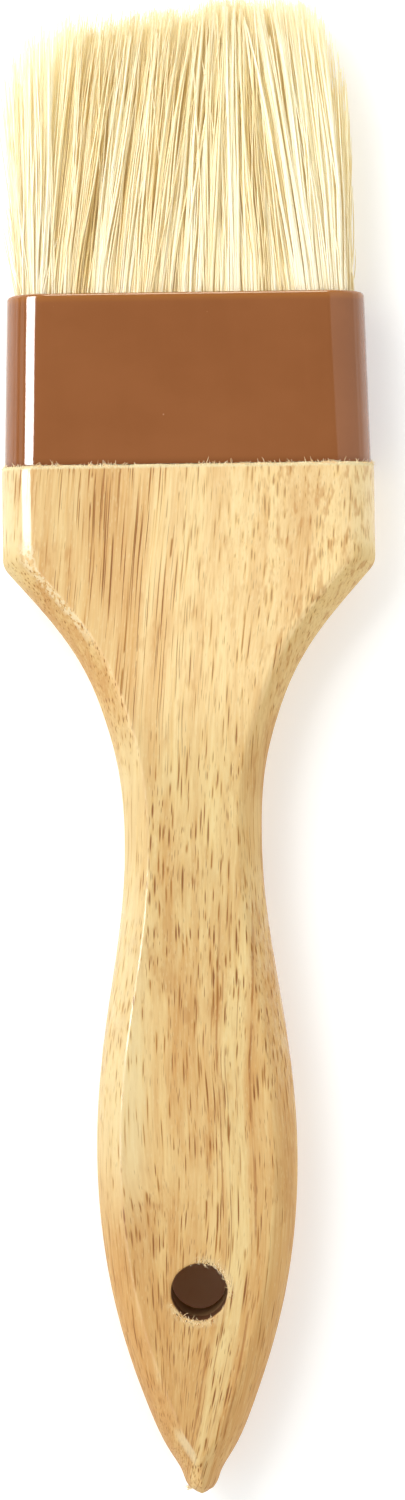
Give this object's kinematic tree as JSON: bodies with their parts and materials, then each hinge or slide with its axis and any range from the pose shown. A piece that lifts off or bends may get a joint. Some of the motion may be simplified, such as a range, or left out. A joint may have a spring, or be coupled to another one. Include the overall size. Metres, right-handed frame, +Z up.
{
  "type": "pastry brush",
  "caption": "Flat pastry brush with a shaped hardwood handle, a hang hole, a glossy plastic ferrule and a sprung natural bristle pack that bends both ways.",
  "frame": {"origin": "middle of the bounding box in X and Y, on the plane that the brush lies on (its rear face)", "axes": "+X across the width, +Y from the handle's tip to the bristle ends, +Z up out of the front face"},
  "size_m": [0.054, 0.216, 0.014],
  "materials": {
    "wood": "satin",
    "ferrule_plastic": "gloss",
    "glue": "satin",
    "resin": "gloss",
    "strip_wood": "matte",
    "bristle": "satin"
  },
  "bodies": {
    "brush_body": {"handle": "wood", "ferrule": "ferrule_plastic", "tenon_glue": "glue", "setting_resin": "resin", "spacer_strip": "strip_wood", "bristle_roots_front": "bristle", "bristle_roots_rear": "bristle"},
    "bristles": {"bristle_field_front": "bristle", "bristle_field_rear": "bristle"}
  },
  "joints": [
    {"name": "bristle_flex", "type": "hinge", "parent": "brush_body", "child": "bristles", "pos_m": [0, 0.0714, 0.007], "axis": [1, 0, 0], "range_deg": [-45, 45], "stiffness_Nm_per_rad": 0.12}
  ]
}
